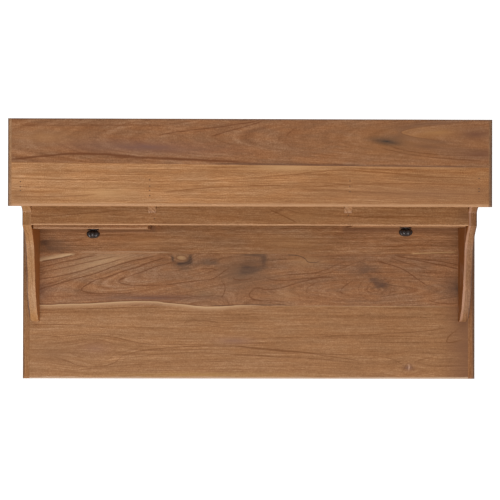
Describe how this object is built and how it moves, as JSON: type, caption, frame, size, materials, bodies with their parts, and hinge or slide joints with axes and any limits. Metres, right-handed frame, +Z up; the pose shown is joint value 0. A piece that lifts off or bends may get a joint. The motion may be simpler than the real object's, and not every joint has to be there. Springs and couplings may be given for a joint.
{
  "type": "writing desk",
  "caption": "Teak writing desk on four tapered legs with a low hutch: two small drawers with lobed iron knobs, an open bay and a shelf between scrolled sides under a top board.",
  "frame": {"origin": "on the floor, below the middle of the desktop", "axes": "+X to the sitter's right along the desktop, +Y from the sitter towards the hutch, +Z up"},
  "size_m": [1.1, 0.61, 0.99],
  "materials": {
    "teak": "thin satin oil over flat-sawn teak, low sheen, grain open to the touch",
    "drawer_wood": "planed pale hardwood, unfinished",
    "panel_wood": "thin teak panel, lightly oiled",
    "dark_iron": "blackened, waxed, slightly glossy",
    "steel": "zinc-plated",
    "glide_plastic": "moulded nylon"
  },
  "bodies": {
    "desk": {"desktop_plank_front": "teak", "desktop_plank_middle": "teak", "desktop_plank_rear": "teak", "desktop_plank_back": "teak", "desktop_end_left": "teak", "desktop_end_right": "teak", "leg_front_left": "teak", "leg_front_right": "teak", "leg_back_left": "teak", "leg_back_right": "teak", "apron_front": "teak", "apron_back": "teak", "apron_left": "teak", "apron_right": "teak", "centre_rail": "teak", "brace_front_left": "drawer_wood", "brace_front_right": "drawer_wood", "brace_back_left": "drawer_wood", "brace_back_right": "drawer_wood", "brace_screws": "steel", "tabletop_buttons": "drawer_wood", "button_screws": "steel", "foot_glides": "glide_plastic", "hutch_side_left": "teak", "hutch_side_right": "teak", "hutch_shelf": "teak", "hutch_back_panel": "panel_wood", "hutch_dowels": "drawer_wood", "lower_divider_left": "teak", "lower_divider_right": "teak", "upper_divider_left": "teak", "upper_divider_right": "teak", "top_plank_front": "teak", "top_plank_rear": "teak", "top_end_left": "teak", "top_end_right": "teak", "top_nails": "dark_iron", "shelf_nails": "dark_iron", "back_panel_pins": "dark_iron", "drawer_stops": "drawer_wood"},
    "drawer_left": {"drawer_left_front": "teak", "drawer_left_side_inner": "drawer_wood", "drawer_left_side_outer": "drawer_wood", "drawer_left_back": "drawer_wood", "drawer_left_bottom": "drawer_wood", "drawer_left_rosette": "dark_iron", "drawer_left_knob": "dark_iron", "drawer_left_screw": "steel"},
    "drawer_right": {"drawer_right_front": "teak", "drawer_right_side_inner": "drawer_wood", "drawer_right_side_outer": "drawer_wood", "drawer_right_back": "drawer_wood", "drawer_right_bottom": "drawer_wood", "drawer_right_rosette": "dark_iron", "drawer_right_knob": "dark_iron", "drawer_right_screw": "steel"}
  },
  "joints": [
    {"name": "drawer_left_slide", "type": "slide", "parent": "desk", "child": "drawer_left", "axis": [0, -1, 0], "range_m": [-0.006, 0.154]},
    {"name": "drawer_right_slide", "type": "slide", "parent": "desk", "child": "drawer_right", "axis": [0, -1, 0], "range_m": [0, 0.16]}
  ]
}
